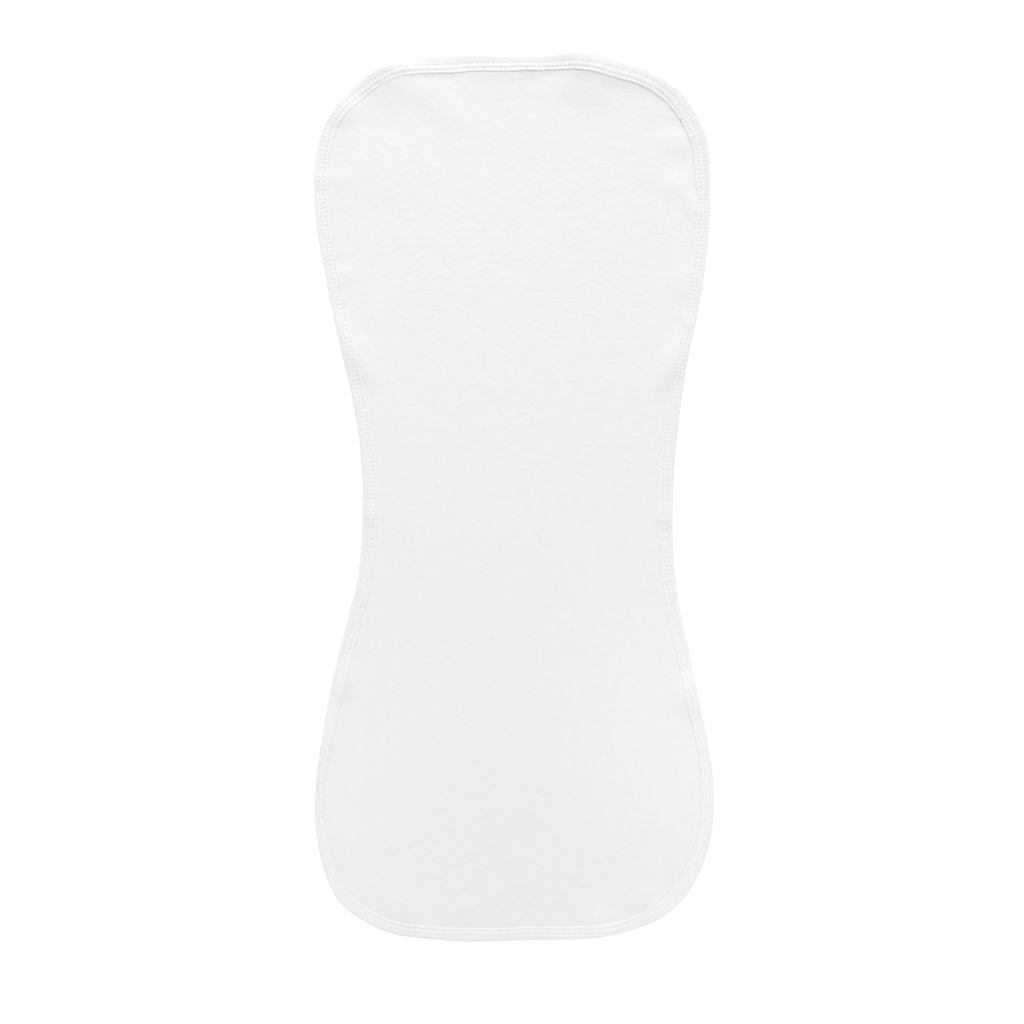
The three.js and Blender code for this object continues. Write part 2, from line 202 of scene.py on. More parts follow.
def rim_line(fine=120):
    """Dense points, unit directions and running length of the rim."""
    points, runs = [], []
    for a, b in zip(RIM, RIM[1:] + RIM[:1]):
        p0, p3 = np.array(a[1:3]), np.array(b[1:3])
        ha, hb = math.radians(a[3]), math.radians(b[3])
        ta = np.array([math.cos(ha), math.sin(ha)])
        tb = np.array([math.cos(hb), math.sin(hb)])
        turn = (hb - ha + math.pi) % (2 * math.pi) - math.pi
        reach = np.hypot(*(p3 - p0)) / (3 * math.cos(turn / 4) ** 2)
        p1, p2 = p0 + ta * reach, p3 - tb * reach
        t = np.linspace(0, 1, fine, endpoint=False)[:, None]
        points.append((1 - t) ** 3 * p0 + 3 * (1 - t) ** 2 * t * p1 + 3 * (1 - t) * t ** 2 * p2 + t ** 3 * p3)
        runs.append(3 * (1 - t) ** 2 * (p1 - p0) + 6 * (1 - t) * t * (p2 - p1) + 3 * t ** 2 * (p3 - p2))
    points, runs = np.vstack(points), np.vstack(runs)
    runs /= np.hypot(runs[:, 0], runs[:, 1])[:, None]
    gaps = np.hypot(*(np.roll(points, -1, 0) - points).T)
    length = np.concatenate([[0.0], np.cumsum(gaps)])
    return points, runs, length


POINTS, RUNS, LENGTH = rim_line()
AROUND = LENGTH[-1]
ROW_AT = LENGTH[:-1].reshape(len(RIM), -1)[:, 0]


def along(s, values):
    """values, given at the rim's dense points, at running lengths s."""
    s = np.mod(s, AROUND)
    return np.interp(s, LENGTH, np.append(values, values[0]))


def eased(at, values, s, over):
    """values, given at running lengths at, eased over that many mm, at running lengths s."""
    grid = np.linspace(0, AROUND, 2048, endpoint=False)
    flat = np.interp(grid, np.append(at, AROUND + at[0]), np.append(values, values[0]))
    ease = np.exp(-0.5 * (np.fft.fftfreq(2048, AROUND / 2048) * 2 * math.pi * over) ** 2)
    soft = np.fft.ifft(np.fft.fft(flat) * ease).real
    return np.interp(np.mod(s, AROUND), np.append(grid, AROUND), np.append(soft, soft[0]))


def column(name, s):
    """What a table's column says at running lengths s."""
    if name == "pitch":
        return eased(ROW_AT, [row[RIM_COLUMNS.index(name)] for row in RIM], s, 9.0)
    if name in SHAPE_COLUMNS:
        return eased([row[0] for row in SHAPE], [row[SHAPE_COLUMNS.index(name)] for row in SHAPE], s, 9.0)
    k = STRIP_COLUMNS.index(name)
    return eased([row[0] for row in STRIP], [row[k] for row in STRIP], s, 3.0) + SHADE_SHIFT[name] * smooth(end_of(s))


def hum(s, seed, shortest, longest, count=26):
    """Even, repeatable unevenness along the rim, about 1 high, same at both ends."""
    rng = np.random.default_rng(seed)
    turns = rng.integers(max(1, int(AROUND / longest)), int(AROUND / shortest), count)
    start = rng.uniform(0, 2 * math.pi, count)
    wave = np.sin(2 * math.pi * np.multiply.outer(np.asarray(s), turns) / AROUND + start)
    return wave.sum(-1) * math.sqrt(2 / count)


def swell(x, y, seed, shortest, longest, count=30, lean=None, stretch=1.0):
    """Even, repeatable unevenness over the cloth. lean, in degrees, lays the waves out along one way, stretch times longer."""
    rng = np.random.default_rng(seed)
    size = np.exp(rng.uniform(math.log(shortest), math.log(longest), count))
    way = rng.uniform(0, math.pi, count)
    start = rng.uniform(0, 2 * math.pi, count)
    if lean is not None:
        c, n = math.cos(math.radians(lean)), math.sin(math.radians(lean))
        x, y = (x * c + y * n) / stretch, y * c - x * n
    total = np.zeros_like(x)
    for k in range(count):
        total += np.sin(2 * math.pi * (x * math.cos(way[k]) + y * math.sin(way[k])) / size[k] + start[k])
    return total * math.sqrt(2 / count)


def rim_at(s, depth=0.0):
    """Points that lie depth in from the rim at running lengths s."""
    px, py = along(s, POINTS[:, 0]), along(s, POINTS[:, 1])
    tx, ty = along(s, RUNS[:, 0]), along(s, RUNS[:, 1])
    k = np.hypot(tx, ty)
    tx, ty = tx / k, ty / k
    return px - ty * depth, py + tx * depth


def smooth(t):
    t = np.clip(t, 0.0, 1.0)
    return t * t * (3 - 2 * t)


def end_of(s):
    """1 where the rim faces the top end, -1 where it faces the bottom end, 0 along the sides."""
    return -along(s, RUNS[:, 0])


def raised(s, depth):
    """How far the rim's own curl lifts the cloth: all of the strip, and the panel just inside it."""
    out = depth - column("edge", s)
    return column("lift", s) * np.exp(-np.maximum(0.0, out) / LIFT_REACH) + column("lean", s) * np.maximum(0.0, -out)


def crisp(s):
    """How deep the stitched rows are pressed in, from 1 in the upper part down to SOFT_END in the lower."""
    y = along(s, POINTS[:, 1])
    return SOFT_END + (1 - SOFT_END) * smooth((y + 105.0) / 65.0)


def tight(s):
    """How tightly single stitches pull at the strip at running lengths s."""
    return eased([row[0] for row in TIGHT], [row[TIGHT_COLUMNS.index("tight")] for row in TIGHT], s, 6.0)


def held(s):
    """Height of the panel's face where it goes into the strip."""
    return STRIP_TOP - 0.06 - column("stand", s)


def folds(x, y):
    """Height of the soft folds above the lying cloth."""
    z = np.zeros_like(x)
    for _, fx, fy, run, spread, turn, lift in FOLDS:
        c, n = math.cos(math.radians(turn)), math.sin(math.radians(turn))
        u = ((x - fx) * c + (y - fy) * n) / run
        v = ((y - fy) * c - (x - fx) * n) / spread
        z += lift * np.maximum(0.0, 1 - u * u - v * v) ** 2
    return z


def unevenness(x, y):
    """The small relief of a knit that was smoothed out by hand: faint slanting draws in the upper part, softer below."""
    upper = smooth((y + 40.0) / 160.0)
    slant = swell(x, y, 3, 9.0, 18.0, 34, lean=-52, stretch=3.2)
    broad = swell(x, y, 4, 26.0, 70.0, 22)
    fine = swell(x, y, 5, 4.5, 9.0, 36)
    upper_left = upper * smooth((40.0 - x) / 110.0)
    return (0.006 + 0.024 * upper_left) * slant + 0.035 * broad + 0.010 * fine


# ---------------------------------------------------------------- mesh helper
def mesh_object(name, points, quads, triangles=None, uv=None, material=None):
    """points in mm; quads and triangles as index arrays; uv gives each quad's corners in metres."""
    points = np.asarray(points, dtype=float).copy()
    points[:, 0] -= CENTRE[0]
    points[:, 1] -= CENTRE[1]
    faces = [np.asarray(quads).ravel()]
    sizes = [np.full(len(quads), 4)]
    if triangles is not None and len(triangles):
        faces.append(np.asarray(triangles).ravel())
        sizes.append(np.full(len(triangles), 3))
    loops = np.concatenate(faces).astype(np.int32)
    sizes = np.concatenate(sizes).astype(np.int32)
    mesh = bpy.data.meshes.new(name)
    mesh.vertices.add(len(points))
    mesh.vertices.foreach_set("co", (points * MM).ravel())
    mesh.loops.add(len(loops))
    mesh.loops.foreach_set("vertex_index", loops)
    mesh.polygons.add(len(sizes))
    mesh.polygons.foreach_set("loop_start", np.concatenate([[0], np.cumsum(sizes)[:-1]]).astype(np.int32))
    mesh.polygons.foreach_set("use_smooth", np.ones(len(sizes), dtype=bool))
    mesh.update(calc_edges=True)
    mesh.validate()
    if uv is not None:
        layer = mesh.uv_layers.new(name="strip")
        layer.data.foreach_set("uv", np.asarray(uv, dtype=float).ravel())
    piece = bpy.data.objects.new(name, mesh)
    bpy.context.scene.collection.objects.link(piece)
    if material is not None:
        mesh.materials.append(material)
    return piece


# --------------------------------------------------------------------- panel
def panel_points():
    """The panel's places seen from above: rings in from its cut edge, then a patch of cells between the four corners."""
    across, down = 110, 258
    total = 2 * (across + down)
    corner_at = [ROW_AT[[r[0] for r in RIM].index(n)] for n in CORNERS]
    s = []
    for k, cells in enumerate((down, across, down, across)):
        a, b = corner_at[k], corner_at[(k + 1) % 4]
        if b < a:
            b += AROUND
        s.append(np.linspace(a, b, cells, endpoint=False))
    s = np.concatenate(s)
    edge = column("edge", s)
    ring_in = [None, 4.6, -1.9, -0.5, 0.1, 0.5, 0.9, 1.4, 2.0, 2.8, 3.8, 5.0, 6.4, 8.0, 9.7, 11.5]
    rings, depths = [], []
    for k, r in enumerate(ring_in):
        depth = np.full(total, CUT_EDGE) if r is None else (np.full(total, r) if k == 1 else edge + r)
        rings.append(np.stack(rim_at(s, depth), 1))
        depths.append(depth)
    ring = rings[-1]
    left = ring[:down + 1]
    bottom = ring[down:down + across + 1]
    right = ring[down + across:2 * down + across + 1][::-1]
    top = np.vstack([ring[2 * down + across:], ring[:1]])[::-1]
    u = np.linspace(0, 1, across + 1)[:, None, None]
    v = np.linspace(0, 1, down + 1)[None, :, None]
    cells = ((1 - u) * left[None] + u * right[None] + (1 - v) * top[:, None] + v * bottom[:, None]
             - (1 - u) * (1 - v) * left[0] - u * (1 - v) * right[0]
             - (1 - u) * v * left[-1] - u * v * right[-1])
    # numbering: rings first, then the patch's own inside points
    number = np.full((across + 1, down + 1), -1)
    base = (len(rings) - 1) * total
    number[0, :] = base + np.arange(down + 1)
    number[:, down] = base + down + np.arange(across + 1)
    number[across, ::-1] = base + down + across + np.arange(down + 1)
    number[::-1, 0] = base + (2 * down + across + np.arange(across + 1)) % total
    inside = cells[1:-1, 1:-1].reshape(-1, 2)
    number[1:-1, 1:-1] = len(rings) * total + np.arange(len(inside)).reshape(across - 1, down - 1)
    places = np.vstack(rings + [inside])
    tree = KDTree(len(POINTS))
    for k, p in enumerate(POINTS):
        tree.insert((p[0], p[1], 0.0), k)
    tree.balance()
    depth_in = np.empty(len(inside))
    near = np.empty(len(inside), dtype=int)
    for k, p in enumerate(inside):
        _, near[k], depth_in[k] = tree.find((p[0], p[1], 0.0))
    depth = np.concatenate(depths + [depth_in])
    s_all = np.concatenate([s] * len(rings) + [LENGTH[near]])
    quads = []
    k = np.arange(total)
    n = (k + 1) % total
    for r in range(len(rings) - 1):
        o, i = r * total, (r + 1) * total
        quads.append(np.stack([o + k, o + n, i + n, i + k], 1))
    a, b = number[:-1, :-1], number[:-1, 1:]
    c, d = number[1:, 1:], number[1:, :-1]
    quads.append(np.stack([a, b, c, d], -1).reshape(-1, 4))
    return places, depth, s_all, np.vstack(quads), total


def panel_piece(material):
    places, depth, s, quads, total = panel_points()
    x, y = places[:, 0], places[:, 1]
    edge = column("edge", s)
    out = depth - edge                       # how far the point is clear of the strip
    fold = folds(x, y)
    clear = smooth((out + 0.5) / 6.0)
    face = PANEL_LYING + (held(s) - PANEL_LYING) * (1 - smooth(out / 34.0))
    curl = raised(s, depth)
    inside = smooth((-out - 0.5) / 1.2)
    face = face + (TUCKED - face) * inside
    face = face + fold + curl + unevenness(x, y) * clear
    under = HELD_UNDER * (1 - smooth((out - 0.4) / 7.0)) + 0.02 + fold * 0.9 + curl
    high = np.column_stack([x, y, face])
    low = np.column_stack([x, y, under])
    count = len(places)
    k = np.arange(total)
    n = (k + 1) % total
    wall = np.stack([count + k, count + n, n, k], 1)
    face = np.maximum(face, under + 0.5)
    high[:, 2] = face
    every = np.vstack([quads, quads[:, ::-1] + count, wall])
    return mesh_object("panel_cloth", np.vstack([high, low]), every, material=material)


# ------------------------------------------------------------------- binding
def midline_stitches():
    """Running lengths of the needle holes, one pitch apart."""
    s = np.linspace(0, AROUND, 6001)
    stitches = np.concatenate([[0], np.cumsum(np.diff(s) / column("pitch", (s[1:] + s[:-1]) / 2))])
    count = int(round(stitches[-1]))
    even = np.arange(count) + 0.07 * np.random.default_rng(21).uniform(-1, 1, count)
    return np.interp(even * stitches[-1] / count, stitches, s)


HOLES = midline_stitches()
STEPS = 5                                      # mesh steps to one stitch


def strip_s():
    nxt = np.append(HOLES[1:], HOLES[0] + AROUND)
    t = np.arange(STEPS) / STEPS
    return (HOLES[:, None] + (nxt - HOLES)[:, None] * t).ravel()


def puckers(s, depth):
    """What the stitching does to the strip: it ripples a little, most at its inner edge."""
    slow = hum(s, 31, 9.0, 40.0)
    quick = hum(s, 32, 3.4, 8.0)
    return (0.035 * slow + 0.022 * quick) * np.clip(depth / 6.0, 0.15, 1.0)


def strip_piece(material):
    s = strip_s()
    e, r1, r2 = column("edge", s), column("row_1", s), column("row_2", s)
    e = e + 0.06 * hum(s, 41, 6.0, 30.0)
    r1 = r1 + 0.05 * hum(s, 42, 8.0, 40.0)
    r2 = r2 + 0.05 * hum(s, 43, 8.0, 40.0)
    swing = 0.035 * hum(s, 44, 8.0, 30.0)      # the rim isn't cut or folded quite evenly
    end = end_of(s)
    rim = column("inset", s)
    roll = column("roll", s)
    roll_top = STRIP_TOP - 0.07 - 0.06 * smooth(end)
    rim_mid = STRIP_TOP - column("drop", s)
    side = 1 - smooth(np.abs(end) / 0.6)       # along the sides the roll is less round
    stand = column("stand", s)
    t = np.tile(np.arange(STEPS) / STEPS, len(HOLES))
    hole = np.exp(-(np.minimum(t, 1 - t) / HOLE_REACH) ** 2)
    nearest = (np.repeat(np.arange(len(HOLES)), STEPS) + (t > 0.5)) % len(HOLES)
    pull = np.random.default_rng(45).uniform(0.55, 1.45, (2, len(HOLES)))[:, nearest]   # no two are equally tight
    mid = (r1 + r2) / 2
    flap = (r2 + e) / 2
    o = np.ones_like(s)
    show = tight(s)
    valley = VALLEY * (0.55 + 0.45 * crisp(s)) * (1 + 0.20 * smooth(end)) + 0.3 * HOLE * (crisp(s) - show)
    deep = HOLE * show * (1 + 0.9 * smooth(end)) * hole
    low_1 = valley + deep * pull[0]
    low_2 = 1.25 * (valley + deep * pull[1])
    ripple = RIPPLE * show * np.cos(2 * math.pi * t) * pull.mean(0)   # the strip gathers a little at every stitch
    on_top = ("crest", "row_1_out", "row_1", "row_1_in", "between", "row_2_out", "row_2", "row_2_in",
              "flap", "flap_end", "edge_turn", "edge")     # heights given from the strip's top
    # part, depth in from the rim, height
    section = [
        ("rim", rim, rim_mid),
        ("roll_1", rim + 0.10 * roll, rim_mid + (0.43 - 0.15 * side) * (roll_top - rim_mid)),
        ("roll_2", rim + 0.32 * roll, rim_mid + (0.73 - 0.15 * side) * (roll_top - rim_mid)),
        ("roll_3", rim + 0.62 * roll, rim_mid + (0.92 - 0.05 * side) * (roll_top - rim_mid)),
        ("roll_top", rim + 1.00 * roll, roll_top),
        ("roll_in", rim + 1.00 * roll + 0.30, roll_top + 0.02),
        ("crest", np.maximum(r1 - 1.00, rim + roll + 0.55), 0.0 * o),
        ("row_1_out", r1 - 0.40, -0.45 * low_1),
        ("row_1", r1, -low_1),
        ("row_1_in", r1 + 0.40, -0.45 * low_1),
        ("between", mid + 0.05, 0.08 - ripple),
        ("row_2_out", r2 - 0.40, -0.02 - 0.45 * low_2),
        ("row_2", r2, -0.03 - low_2),
        ("row_2_in", r2 + 0.40, -0.02 - 0.45 * low_2),
        ("flap", flap, 0.02 - 0.6 * ripple),
        ("flap_end", e - 0.80, -0.02 + 0.10 * smooth(end)),
        ("edge_turn", e - 0.36, -0.06 - 0.22 * stand),
        ("edge", e - 0.04, -0.06 - 0.66 * stand),
        ("edge_foot", e, held(s) + 0.02),
        ("channel_mouth", e - 1.2, held(s) + 0.09),
        ("channel_in", e - 1.9, (TUCKED + 0.11) * o),
        ("channel_end_high", 1.8 * o, (TUCKED + 0.11) * o),
        ("channel_end_low", 1.7 * o, HELD_UNDER - 0.10 * o),
        ("under_mouth", e - 1.2, HELD_UNDER - 0.10 * o),
        ("under_foot", e - 0.10, HELD_UNDER - 0.16 * o),
        ("under_edge", e + 0.02, 0.30 * o),
        ("under_turn", e - 0.35, 0.05 * o),
        ("under_row_2", r2, 0.10 + 0.12 * hole),
        ("under_between", mid, 0.03 * o),
        ("under_row_1", r1, 0.10 + 0.12 * hole),
        ("under_crest", r1 - 1.3, 0.06 * o),
        ("under_rim_turn", rim + 0.85, 0.34 * o),
        ("under_rim", rim + 0.22, 0.88 * o),
    ]
    rings = []
    for part, depth, z in section:
        d = depth - swing * np.clip(1 - depth / 3.0, 0, 1)
        px, py = rim_at(s, d)
        z = z + folds(px, py) + raised(s, depth)
        if part in on_top:
            z = z + STRIP_TOP
        if not part.startswith(("under", "channel")):
            z = z + puckers(s, depth)
        rings.append(np.column_stack([px, py, z]))
    rings = np.array(rings)                    # parts, steps, xyz
    parts, steps = rings.shape[:2]
    points = rings.transpose(1, 0, 2).reshape(-1, 3)
    k = np.arange(steps)[:, None]
    i = np.arange(parts)[None, :]
    # the section is listed clockwise as seen along the rim's run
    a = k * parts + i
    b = k * parts + (i + 1) % parts
    c = ((k + 1) % steps) * parts + (i + 1) % parts
    d = ((k + 1) % steps) * parts + i
    quads = np.stack([a, d, c, b], -1).reshape(-1, 4)
    # strip coordinates: along the rim, and across the strip's own width
    step = np.hypot(np.diff(rings.mean(1)[:, 0], append=0), 0)
    width = np.concatenate([[0], np.cumsum(np.hypot(
        np.diff(np.array([np.mean(d) for _, d, _ in section])),
        np.diff(np.array([np.mean(z) for _, _, z in section]))))])
    width = np.append(width, width[-1] + 0.7)
    s_next = np.append(s[1:], s[0] + AROUND)
    ua, ud = np.broadcast_to(s[:, None], (steps, parts)), np.broadcast_to(s_next[:, None], (steps, parts))
    va, vb = np.broadcast_to(width[None, :-1], (steps, parts)), np.broadcast_to(width[None, 1:], (steps, parts))
    uv = np.stack([np.stack([ua, va], -1), np.stack([ud, va], -1), np.stack([ud, vb], -1), np.stack([ua, vb], -1)], 2)
    piece = mesh_object("binding_strip", points, quads, uv=uv.reshape(-1, 2) * MM, material=material)
    return piece


# ------------------------------------------------------------------ stitches
def threads(name, paths, sides, material):
    """paths: array (stitches, rings, 4) of x, y, z, radius in mm. Each stitch is its own closed length of thread."""
    count, rings = paths.shape[:2]
    heading = np.gradient(paths[:, :, :3], axis=1)
    heading /= np.linalg.norm(heading, axis=2, keepdims=True)
    up = np.zeros_like(heading)
    up[..., 2] = 1.0
    side = np.cross(heading, up)
    side /= np.linalg.norm(side, axis=2, keepdims=True)
    top = np.cross(side, heading)
    angle = 2 * math.pi * np.arange(sides) / sides
    ring = (paths[:, :, None, :3]
            + paths[:, :, None, 3:4] * (np.cos(angle)[None, None, :, None] * side[:, :, None]
                                        + np.sin(angle)[None, None, :, None] * top[:, :, None]))
    tips = np.stack([paths[:, 0, :3] - heading[:, 0] * paths[:, 0, 3:4],
                     paths[:, -1, :3] + heading[:, -1] * paths[:, -1, 3:4]], 1)
    block = rings * sides + 2
    points = np.concatenate([ring.reshape(count, -1, 3), tips], 1).reshape(-1, 3)
    r = np.arange(rings - 1)[:, None]
    q = np.arange(sides)[None, :]
    quad = np.stack([r * sides + q, (r + 1) * sides + q, (r + 1) * sides + (q + 1) % sides, r * sides + (q + 1) % sides], -1).reshape(-1, 4)
    q = np.arange(sides)
    first = np.stack([np.full(sides, rings * sides), q, (q + 1) % sides], 1)
    last = np.stack([np.full(sides, rings * sides + 1), (rings - 1) * sides + (q + 1) % sides, (rings - 1) * sides + q], 1)
    shift = (np.arange(count) * block)[:, None, None]
    quads = (quad[None] + shift).reshape(-1, 4)
    triangles = (np.concatenate([first, last])[None] + shift).reshape(-1, 3)
    return mesh_object(name, points, quads, triangles, material=material)


def stitch_paths(row, base, side_of, radius=0.21, rise=0.12, sink=0.60):
    """One row of stitches over the strip: each rises out of its hole, lies along the row and sinks into the next."""
    s0 = HOLES
    s1 = np.append(HOLES[1:], HOLES[0] + AROUND)
    rng = np.random.default_rng(51 if row == "row_1" else 52)
    jitter = rng.uniform(-1, 1, (len(s0), 3))
    t = np.array([0.08, 0.22, 0.50, 0.78, 0.92])
    s = s0[:, None] + (s1 - s0)[:, None] * t
    depth = column(row, s) + 0.05 * hum(s, 42 if row == "row_1" else 43, 8.0, 40.0) + 0.035 * jitter[:, :1] * np.sin(math.pi * t)
    x, y = rim_at(s, depth)
    lie = np.array([-sink, rise * 0.55, rise, rise * 0.55, -sink])
    arch = np.minimum(1.0, 0.25 + 2.2 * tight(s)) if side_of > 0 else 1.0      # slack stitches lie flatter
    lie = 0.05 + (lie - 0.05) * arch
    z = base + side_of * lie + folds(x, y) + raised(s, depth)
    if side_of > 0:
        z = z + STRIP_TOP + puckers(s, depth) - 0.08 * (1 - crisp(s)) - 0.09 * smooth(end_of(s))
    thick = radius * (1 - np.array([0.45, 0.05, 0.0, 0.05, 0.45]) * arch) * (1 + 0.10 * jitter[:, 1:2])
    return np.stack([x, y, z, thick], -1)


def looper_paths(radius=0.13):
    """Under the strip one thread runs to and fro between the two rows."""
    s0 = HOLES
    s1 = np.append(HOLES[1:], HOLES[0] + AROUND)
    t = np.array([0.0, 0.25, 0.5, 0.75, 1.0])
    paths = []
    for flip in (0, 1):
        s = s0[:, None] + (s1 - s0)[:, None] * (t / 2 + flip / 2)
        r1, r2 = column("row_1", s), column("row_2", s)
        f = smooth(t) if flip == 0 else 1 - smooth(t)
        depth = r1 + (r2 - r1) * f
        x, y = rim_at(s, depth)
        z = 0.06 - 0.03 * np.sin(math.pi * t) + folds(x, y) + raised(s, depth)
        paths.append(np.stack([x, y, z, np.full_like(x, radius)], -1))
    return np.concatenate(paths)


# ----------------------------------------------------------------- materials
def tree_of(name):
    material = bpy.data.materials.new(name)
    material.use_nodes = True
    nodes = material.node_tree.nodes
    nodes.clear()
    return material, nodes, material.node_tree.links


def put(nodes, kind, **settings):
    node = nodes.new(kind)
    for key, value in settings.items():
        setattr(node, key, value)
    return node


def maths(nodes, links, operation, a, b=None, clamp=False):
    node = put(nodes, "ShaderNodeMath", operation=operation, use_clamp=clamp)
    for socket, value in zip(node.inputs, (a, b)):
        if value is None:
            continue
        if isinstance(value, (int, float)):
            socket.default_value = value
        else:
            links.new(value, socket)
    return node.outputs[0]


def knit(nodes, links, across, along_it, wale, course):
    """Height of a plain knit face: columns of small V-shaped loops. across and along_it are in metres."""
    a = maths(nodes, links, "FRACT", maths(nodes, links, "DIVIDE", across, wale))
    fromline = maths(nodes, links, "MULTIPLY", maths(nodes, links, "ABSOLUTE", maths(nodes, links, "SUBTRACT", a, 0.5)), 2.0)
    leg = maths(nodes, links, "SINE", maths(nodes, links, "MULTIPLY", fromline, math.pi))
    b = maths(nodes, links, "DIVIDE", along_it, course)
    b = maths(nodes, links, "ADD", b, maths(nodes, links, "MULTIPLY", fromline, 0.45))
    loop = maths(nodes, links, "COSINE", maths(nodes, links, "MULTIPLY", b, 2 * math.pi))
    loop = maths(nodes, links, "ADD", maths(nodes, links, "MULTIPLY", loop, 0.30), 0.70)
    return maths(nodes, links, "MULTIPLY", leg, loop)


def noise(nodes, links, vector, scale, detail=2.0, rough=0.5):
    node = put(nodes, "ShaderNodeTexNoise")
    node.inputs["Scale"].default_value = scale
    node.inputs["Detail"].default_value = detail
    node.inputs["Roughness"].default_value = rough
    links.new(vector, node.inputs["Vector"])
    return node.outputs["Fac"]


def cloth_material(name, colour, wale, course, depth, mottle_and_loop_shade, from_strip=False, roughness=0.92):
    material, nodes, links = tree_of(name)
    out = put(nodes, "ShaderNodeOutputMaterial")
    shader = put(nodes, "ShaderNodeBsdfPrincipled")
    links.new(shader.outputs[0], out.inputs[0])
    where = put(nodes, "ShaderNodeTexCoord").outputs["Object"]
    if from_strip:
        grain = put(nodes, "ShaderNodeUVMap", uv_map="strip").outputs[0]
    else:
        grain = where
    # the yarn doesn't run perfectly straight
    wander = noise(nodes, links, where, 90.0, 2.0)
    drift = maths(nodes, links, "MULTIPLY", maths(nodes, links, "SUBTRACT", wander, 0.5), 0.0007)
    parts = put(nodes, "ShaderNodeSeparateXYZ")
    links.new(grain, parts.inputs[0])
    across = maths(nodes, links, "ADD", parts.outputs[0], drift)
    along_it = maths(nodes, links, "ADD", parts.outputs[1], drift)
    height = knit(nodes, links, across, along_it, wale, course)
    stretch = put(nodes, "ShaderNodeMapping")
    stretch.inputs["Scale"].default_value = (0.5, 1.0, 1.0)
    links.new(where, stretch.inputs["Vector"])
    fuzz = noise(nodes, links, where, 2600.0, 3.0, 0.6)
    yarn = noise(nodes, links, stretch.outputs[0], 420.0, 3.0, 0.55)
    lump = noise(nodes, links, stretch.outputs[0], 150.0, 2.0, 0.6)
    # the upper part is a little rougher than the lower, which was smoothed flatter
    place = put(nodes, "ShaderNodeSeparateXYZ")
    links.new(where, place.inputs[0])
    coarse = put(nodes, "ShaderNodeMapRange", interpolation_type="SMOOTHSTEP")
    coarse.inputs["From Min"].default_value = -0.08
    coarse.inputs["From Max"].default_value = 0.12
    coarse.inputs["To Min"].default_value = 0.60
    coarse.inputs["To Max"].default_value = 1.70
    links.new(place.outputs[1], coarse.inputs[0])
    loose = maths(nodes, links, "ADD", maths(nodes, links, "MULTIPLY", yarn, 2.2), maths(nodes, links, "MULTIPLY", lump, 2.6))
    relief = maths(nodes, links, "ADD", height, maths(nodes, links, "MULTIPLY", fuzz, 0.45))
    relief = maths(nodes, links, "ADD", relief, maths(nodes, links, "MULTIPLY", loose, coarse.outputs[0]))
    bump = put(nodes, "ShaderNodeBump")
    bump.inputs["Strength"].default_value = 1.0
    bump.inputs["Distance"].default_value = depth
    links.new(relief, bump.inputs["Height"])
    links.new(bump.outputs[0], shader.inputs["Normal"])
    # colour: white with faint random blotches, and painted shade: the knit's low parts between the loops are coloured a
    # little darker, as if in shadow
    patch = noise(nodes, links, where, 38.0, 3.0, 0.5)
    streak = noise(nodes, links, stretch.outputs[0], 700.0, 3.0, 0.55)
    # height times 0.12 is painted shade in the knit's hollows; the noise terms are the yarn's own random tone
    shade = maths(nodes, links, "ADD", maths(nodes, links, "MULTIPLY", height, 0.12),
                  maths(nodes, links, "ADD", maths(nodes, links, "MULTIPLY", yarn, 0.30), maths(nodes, links, "MULTIPLY", patch, 0.08)))
    shade = maths(nodes, links, "ADD", shade, maths(nodes, links, "MULTIPLY", streak, 0.50))
    ramp = put(nodes, "ShaderNodeValToRGB")
    ramp.color_ramp.elements[0].position = 0.10
    ramp.color_ramp.elements[0].color = tuple(c * (1 - mottle_and_loop_shade) for c in colour) + (1,)
    ramp.color_ramp.elements[1].position = 0.85
    ramp.color_ramp.elements[1].color = tuple(colour) + (1,)
    links.new(shade, ramp.inputs[0])
    links.new(ramp.outputs[0], shader.inputs["Base Color"])
    rough = put(nodes, "ShaderNodeMapRange")
    rough.inputs["To Min"].default_value = roughness - 0.06
    rough.inputs["To Max"].default_value = min(1.0, roughness + 0.06)
    links.new(fuzz, rough.inputs[0])
    links.new(rough.outputs[0], shader.inputs["Roughness"])
    shader.inputs["Specular IOR Level"].default_value = 0.20
    shader.inputs["Sheen Weight"].default_value = 0.12
    shader.inputs["Sheen Roughness"].default_value = 0.5
    return material


def thread_material(name, colour):
    material, nodes, links = tree_of(name)
    out = put(nodes, "ShaderNodeOutputMaterial")
    shader = put(nodes, "ShaderNodeBsdfPrincipled")
    links.new(shader.outputs[0], out.inputs[0])
    where = put(nodes, "ShaderNodeTexCoord").outputs["Object"]
    twist = put(nodes, "ShaderNodeTexWave", wave_type="BANDS", bands_direction="DIAGONAL")
    twist.inputs["Scale"].default_value = 1500.0
    twist.inputs["Distortion"].default_value = 1.5
    twist.inputs["Detail"].default_value = 1.0
    links.new(where, twist.inputs["Vector"])
    fuzz = noise(nodes, links, where, 3000.0, 2.0, 0.6)
    relief = maths(nodes, links, "ADD", twist.outputs["Fac"], maths(nodes, links, "MULTIPLY", fuzz, 0.6))
    bump = put(nodes, "ShaderNodeBump")
    bump.inputs["Strength"].default_value = 0.8
    bump.inputs["Distance"].default_value = 0.00005
    links.new(relief, bump.inputs["Height"])
    links.new(bump.outputs[0], shader.inputs["Normal"])
    # The thread's colour follows the same relief: painted shade, up to 5% darker in the grooves of the twist, with the
    # fuzz's random tone mixed in.
    ramp = put(nodes, "ShaderNodeValToRGB")
    ramp.color_ramp.elements[0].color = tuple(c * 0.95 for c in colour) + (1,)
    ramp.color_ramp.elements[1].color = tuple(colour) + (1,)
    links.new(relief, ramp.inputs[0])
    links.new(ramp.outputs[0], shader.inputs["Base Color"])
    shader.inputs["Roughness"].default_value = 0.62
    shader.inputs["Specular IOR Level"].default_value = 0.30
    shader.inputs["Sheen Weight"].default_value = 0.10
    return material


